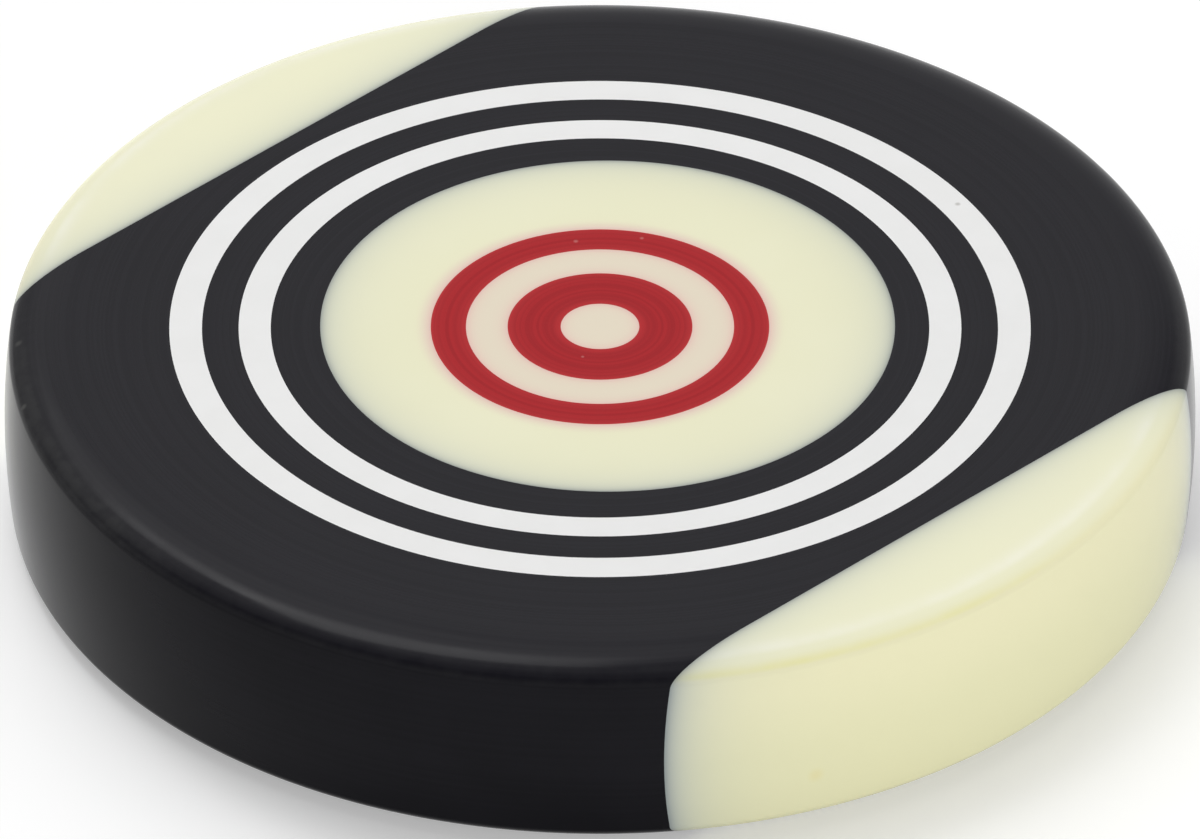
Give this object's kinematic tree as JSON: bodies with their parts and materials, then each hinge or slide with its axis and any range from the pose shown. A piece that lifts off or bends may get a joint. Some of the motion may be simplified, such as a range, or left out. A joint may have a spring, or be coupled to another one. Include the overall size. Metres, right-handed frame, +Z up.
{
  "type": "carrom striker",
  "caption": "Round resin carrom striker with a black slab between ivory side segments, a crowned wall with soft shoulders, and concentric white, ivory and red rings inlaid flush in each face.",
  "frame": {"origin": "centre of the lower face, on the disc's axis", "axes": "+Z up along the disc's axis, +X along the black slab, +Y towards the back ivory segment"},
  "size_m": [0.0412, 0.0412, 0.0074],
  "materials": {
    "black_resin": "black cast resin, turned and polished to a soft gloss, with faint turning marks",
    "ivory_resin": "ivory cast resin, slightly translucent, turned and polished to a soft gloss",
    "white_resin": "white resin inlay, turned flush and polished",
    "red_resin": "red resin inlay, turned flush and polished, with faint turning marks"
  },
  "bodies": {
    "root": {"black_slab": "black_resin", "front_segment": "ivory_resin", "back_segment": "ivory_resin", "top_outer_white_ring": "white_resin", "top_inner_white_ring": "white_resin", "top_medallion": "ivory_resin", "top_outer_red_ring": "red_resin", "top_inner_red_ring": "red_resin", "bottom_outer_white_ring": "white_resin", "bottom_inner_white_ring": "white_resin", "bottom_medallion": "ivory_resin", "bottom_outer_red_ring": "red_resin", "bottom_inner_red_ring": "red_resin"}
  },
  "joints": []
}
